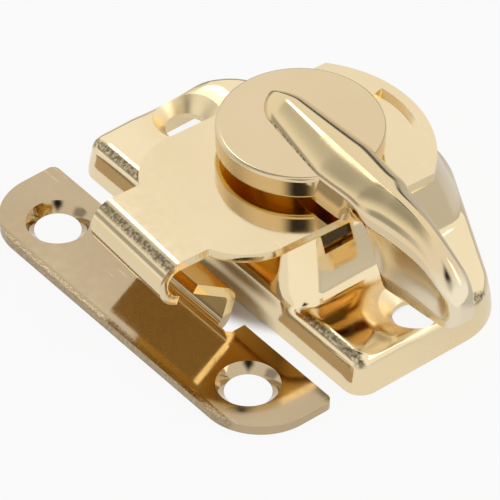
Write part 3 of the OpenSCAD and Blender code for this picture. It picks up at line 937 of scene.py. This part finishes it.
def base_worked(tree):
    """The pressed bends along the front and the two ends."""
    along, across, up = place_on(tree)
    away = work(tree, "ABSOLUTE", along)
    edge = -BASE_FRONT
    front = times(tree, between(tree, across, edge + 0.65, edge + 1.05, edge + 1.55, edge + 1.95),
                  past(tree, away, HOUSING_FOOT_HALF - 0.6, HOUSING_FOOT_HALF + 0.8))
    ends = times(tree, between(tree, away, BASE_HALF - 2.0, BASE_HALF - 1.6, BASE_HALF - 1.1, BASE_HALF - 0.7),
                 past(tree, across, 3.0, 6.0))
    return times(tree, work(tree, "MAXIMUM", front, ends), past(tree, up, FLAT_HEIGHT - 1.5, FLAT_HEIGHT - 1.0))


def base_dishes(tree):
    """The pressed dishes round the screw holes."""
    along, across, up = place_on(tree)
    beside = work(tree, "SUBTRACT", work(tree, "ABSOLUTE", along), BASE_SCREW_X * MM)
    return short_of(tree, distance(tree, beside, across), BASE_COUNTERSINK + 0.1, DISH_REACH + 0.2)


def keeper_worked(tree):
    """The rolled outer edge, marked half as much as a bend."""
    along, across, up = place_on(tree)
    band = between(tree, across, KEEPER_OUTER - 1.0, KEEPER_OUTER - 0.5, KEEPER_OUTER + 0.5, KEEPER_OUTER + 0.9)
    return times(tree, band, 0.5)


def keeper_tongue_painted_amber(tree):
    """The tongue, painted lighter and more amber than the flat as a painted reflection of the amber brass beside it.
    """
    along, across, up = place_on(tree)
    return past(tree, up, KEEPER_SHEET + 0.5, KEEPER_SHEET + 1.0)


# Stain colour for pits and worked metal, also used as painted shade on the lever's seam and nose
STAIN_AND_SHADE = (0.12, 0.085, 0.045)
# Painted amber reflection for the cam's underside and the inside of its hook
PAINTED_BOUNCE_AMBER = (0.95, 0.70, 0.22)
# Painted amber reflection for the underside of the lever's disc and its hub
PAINTED_UNDERSIDE_AMBER = (0.78, 0.62, 0.24)
# Painted amber reflection for the keeper's tongue
PAINTED_TONGUE_AMBER = (0.87, 0.67, 0.33)
# Painted shade: deeper yellow for the lever's arch
PAINTED_ARCH_SHADE = (0.77, 0.61, 0.35)
# Painted light: paler colour for the lever blade's sides
PAINTED_SIDE_LIGHT = (0.87, 0.76, 0.56)
base.data.materials.append(plate_material(
    "base plate", (0.91, 0.76, 0.50), (0.88, 0.72, 0.45), 1.0, base_worked, dull=base_dishes))
keeper.data.materials.append(plate_material(
    "keeper plate", (0.55, 0.43, 0.27), (0.51, 0.39, 0.24), 2.0, keeper_worked, [(keeper_tongue_painted_amber, PAINTED_TONGUE_AMBER)]))
cam.data.materials.append(plate_material(
    "cam plate", (0.85, 0.70, 0.45), (0.82, 0.67, 0.42), 3.0, cam_worked, [(cam_shaded_hollows, PAINTED_BOUNCE_AMBER)], cam_shaded_hollows))
lever.data.materials.append(plate_material(
    "lever plate", (0.76, 0.61, 0.39), (0.73, 0.58, 0.36), 4.0, lever_worked_and_shaded,
    [(lever_arch_painted_shade, PAINTED_ARCH_SHADE), (lever_sides_painted_light, PAINTED_SIDE_LIGHT), (lever_underside_painted_amber, PAINTED_UNDERSIDE_AMBER)], lever_dull, shear=0.0))
for node, colour, seed in (("pivot_post", (0.48, 0.48, 0.5), 5.0), ("spring_washer", (0.32, 0.34, 0.39), 6.0),
                           ("flat_washer", (0.39, 0.41, 0.45), 7.0)):
    steel = plate_material(node.replace("_", " "), colour, tuple(c * 0.8 for c in colour), seed, haze=(0.25, 0.4))
    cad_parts[node].material_slots[0].material = steel


# Studio

def make_floor():
    """White floor that keeps the shadow, dimmer in reflections towards the back, and dark under the housing."""
    clear()
    bpy.ops.mesh.primitive_plane_add(size=6.0, location=(0.0, 0.0, -0.0001))
    floor = bpy.context.object
    floor.name = "studio_floor"
    material = bpy.data.materials.new("studio floor")
    material.use_nodes = True
    tree = material.node_tree
    shader = tree.nodes["Principled BSDF"]
    shader.inputs["Base Color"].default_value = (0.9, 0.9, 0.9, 1.0)
    shader.inputs["Roughness"].default_value = 0.9
    shader.inputs["Specular IOR Level"].default_value = 0.0
    white = tree.nodes.new("ShaderNodeEmission")
    rays = tree.nodes.new("ShaderNodeLightPath")
    along, across, up = place_on(tree)
    front = ramp(tree, across, -10.0 * MM, 45.0 * MM, 0.8, 0.1)
    seen = work(tree, "MAXIMUM", rays.outputs["Is Camera Ray"], times(tree, rays.outputs["Is Glossy Ray"], front))
    keep = times(tree, seen, past(tree, distance(tree, along, across), 14.5, 17.0, 0.9))
    blend = tree.nodes.new("ShaderNodeMixShader")
    feed(tree, blend, "Fac", keep)
    feed(tree, blend, 1, shader.outputs["BSDF"])
    feed(tree, blend, 2, white.outputs["Emission"])
    feed(tree, tree.nodes["Material Output"], "Surface", blend.outputs["Shader"])
    floor.data.materials.append(material)


def make_world():
    """A white room, held back where it lights the floor."""
    world = bpy.data.worlds.new("studio")
    bpy.context.scene.world = world
    world.use_nodes = True
    tree = world.node_tree
    room = tree.nodes["Background"]
    room.inputs["Color"].default_value = (1.0, 1.0, 1.0, 1.0)
    room.inputs["Strength"].default_value = 0.55
    white = tree.nodes.new("ShaderNodeBackground")
    white.inputs["Color"].default_value = (1.0, 1.0, 1.0, 1.0)
    white.inputs["Strength"].default_value = 1.0
    rays = tree.nodes.new("ShaderNodeLightPath")
    seen = work(tree, "MAXIMUM", rays.outputs["Is Camera Ray"], rays.outputs["Is Glossy Ray"])
    seen = work(tree, "MAXIMUM", seen, rays.outputs["Is Transmission Ray"])
    blend = tree.nodes.new("ShaderNodeMixShader")
    feed(tree, blend, "Fac", seen)
    feed(tree, blend, 1, room.outputs["Background"])
    feed(tree, blend, 2, white.outputs["Background"])
    feed(tree, tree.nodes["World Output"], "Surface", blend.outputs["Shader"])


def facing_pivot(place):
    """Turn for a sheet at a place, square to the rails and facing the lock."""
    towards = -Vector(place).normalized()
    along = (Vector((1.0, 0.0, 0.0)) - towards * towards.x).normalized()
    across = towards.cross(along)
    return Matrix((along, across, towards)).transposed().to_euler()


def make_lamp(name, place, size, power):
    """A flat lamp aimed at the lock."""
    data = bpy.data.lights.new(name, "AREA")
    data.shape = "RECTANGLE"
    data.size, data.size_y = size
    data.energy = power
    lamp = bpy.data.objects.new(name, data)
    bpy.context.scene.collection.objects.link(lamp)
    lamp.location = place
    lamp.rotation_euler = facing_pivot([-way for way in place])


def make_card(name, place, size, shade, soft):
    """A cloth with soft edges that only reflections see, from black at 0 to white at 1."""
    clear()
    bpy.ops.mesh.primitive_plane_add(size=2.0, location=place)
    card = bpy.context.object
    card.name = name
    card.scale = (size[0] / 2, size[1] / 2, 1.0)
    card.rotation_euler = facing_pivot(place)
    card.visible_camera = False
    card.visible_shadow = False
    card.visible_diffuse = False
    material = bpy.data.materials.new(name)
    material.use_nodes = True
    tree = material.node_tree
    shader = tree.nodes["Principled BSDF"]
    shader.inputs["Base Color"].default_value = (shade, shade, shade, 1.0)
    shader.inputs["Roughness"].default_value = 1.0
    shader.inputs["Specular IOR Level"].default_value = 0.0
    along, across, up = place_on(tree)
    cover = [ramp(tree, work(tree, "ABSOLUTE", way), 1.0 - soft, 1.0, 1.0, 0.0) for way in (along, across)]
    feed(tree, shader, "Alpha", times(tree, *cover))
    card.data.materials.append(material)


make_floor()
make_world()
make_lamp("side softbox", (0.75, 0.75, 0.85), (0.6, 0.6), 1.2)
make_lamp("crest strip", (-0.215, 0.1, 0.286), (0.05, 0.08), 0.03)
make_card("room behind the camera", (0.62, -0.52, 0.74), (0.75, 0.75), 0.05, 0.8)
make_card("grey ceiling", (-0.35, -0.2, 0.9), (1.1, 1.6), 0.8, 0.8)
make_card("front wall", (-0.52, -0.72, 0.32), (1.0, 0.35), 0.8, 0.6)
make_card("crest shade", (-0.105, 0.07, 0.286), (0.17, 0.06), 0.1, 0.6)
make_card("dark far wall", (-0.75, 0.62, 0.05), (1.3, 0.26), 0.2, 0.5)

# Camera at the photograph's angle, for a 500 pixel square picture
PICTURE = 500.0
CAMERA_PLACE = (0.48333, -0.40550, 0.57245)
CAMERA_YAW = math.radians(50.530)
CAMERA_PITCH = math.radians(42.316)
CAMERA_ROLL = math.radians(0.505)
FOCAL_PIXELS = 7368.8
CENTRE_PIXEL = (248.62, 249.95)

data = bpy.data.cameras.new("camera")
data.sensor_width = 36.0
data.sensor_fit = "HORIZONTAL"
data.lens = FOCAL_PIXELS / PICTURE * data.sensor_width
data.shift_x = (PICTURE / 2 - CENTRE_PIXEL[0]) / PICTURE
data.shift_y = (CENTRE_PIXEL[1] - PICTURE / 2) / PICTURE
data.clip_start = 0.05
camera = bpy.data.objects.new("camera", data)
bpy.context.scene.collection.objects.link(camera)
back = Vector((math.sin(CAMERA_YAW) * math.cos(CAMERA_PITCH), -math.cos(CAMERA_YAW) * math.cos(CAMERA_PITCH),
               math.sin(CAMERA_PITCH)))
right = Vector((math.cos(CAMERA_YAW), math.sin(CAMERA_YAW), 0.0))
up = back.cross(right)
across = right * math.cos(CAMERA_ROLL) + up * math.sin(CAMERA_ROLL)
upward = up * math.cos(CAMERA_ROLL) - right * math.sin(CAMERA_ROLL)
camera.matrix_world = Matrix((
    (across.x, upward.x, back.x, CAMERA_PLACE[0]),
    (across.y, upward.y, back.y, CAMERA_PLACE[1]),
    (across.z, upward.z, back.z, CAMERA_PLACE[2]),
    (0.0, 0.0, 0.0, 1.0),
))
bpy.context.scene.camera = camera
bpy.context.scene.view_settings.view_transform = "Standard"

# Plate facing plate passes light on many times before it leaves
bpy.context.scene.cycles.max_bounces = 16
bpy.context.scene.cycles.glossy_bounces = 12
